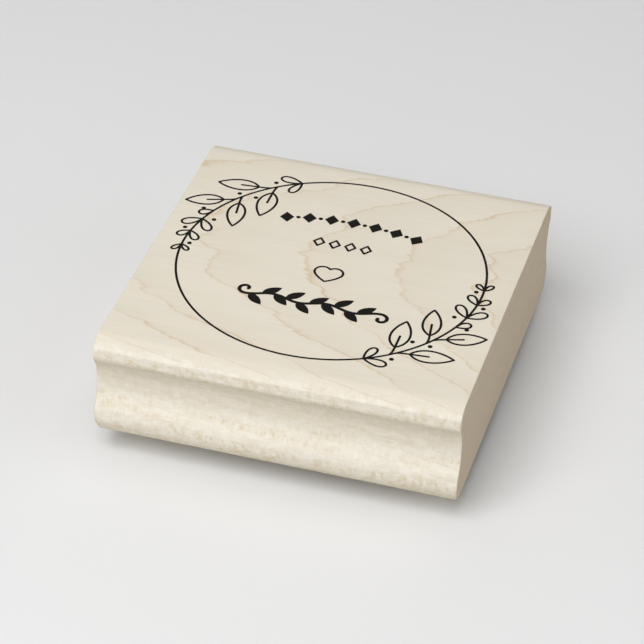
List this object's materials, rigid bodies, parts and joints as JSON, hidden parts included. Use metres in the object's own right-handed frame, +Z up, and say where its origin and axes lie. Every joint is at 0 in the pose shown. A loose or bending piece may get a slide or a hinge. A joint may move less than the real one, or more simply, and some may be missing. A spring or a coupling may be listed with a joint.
{
  "type": "rubber stamp",
  "caption": "Wood-mounted rubber stamp: moulded maple block with finger grooves, foam cushion and engraved rubber die with a leafy wreath.",
  "frame": {"origin": "centre of the printing face, under the middle of the block, on the surface that the stamp stands on", "axes": "+Z up out of the block's top, +X along the moulded sides towards a sawn end, -Y towards the user, the artwork reading upright from -Y"},
  "size_m": [0.0762, 0.0804, 0.0281],
  "materials": {
    "maple": "satin",
    "index_ink": "matte",
    "adhesive_film": "gloss",
    "cushion_foam": "matte",
    "die_rubber": "matte"
  },
  "bodies": {
    "root": {"maple_block": "maple", "block_side_film": "adhesive_film", "foam_cushion": "cushion_foam", "die_side_film": "adhesive_film", "rubber_die": "die_rubber"}
  },
  "joints": []
}
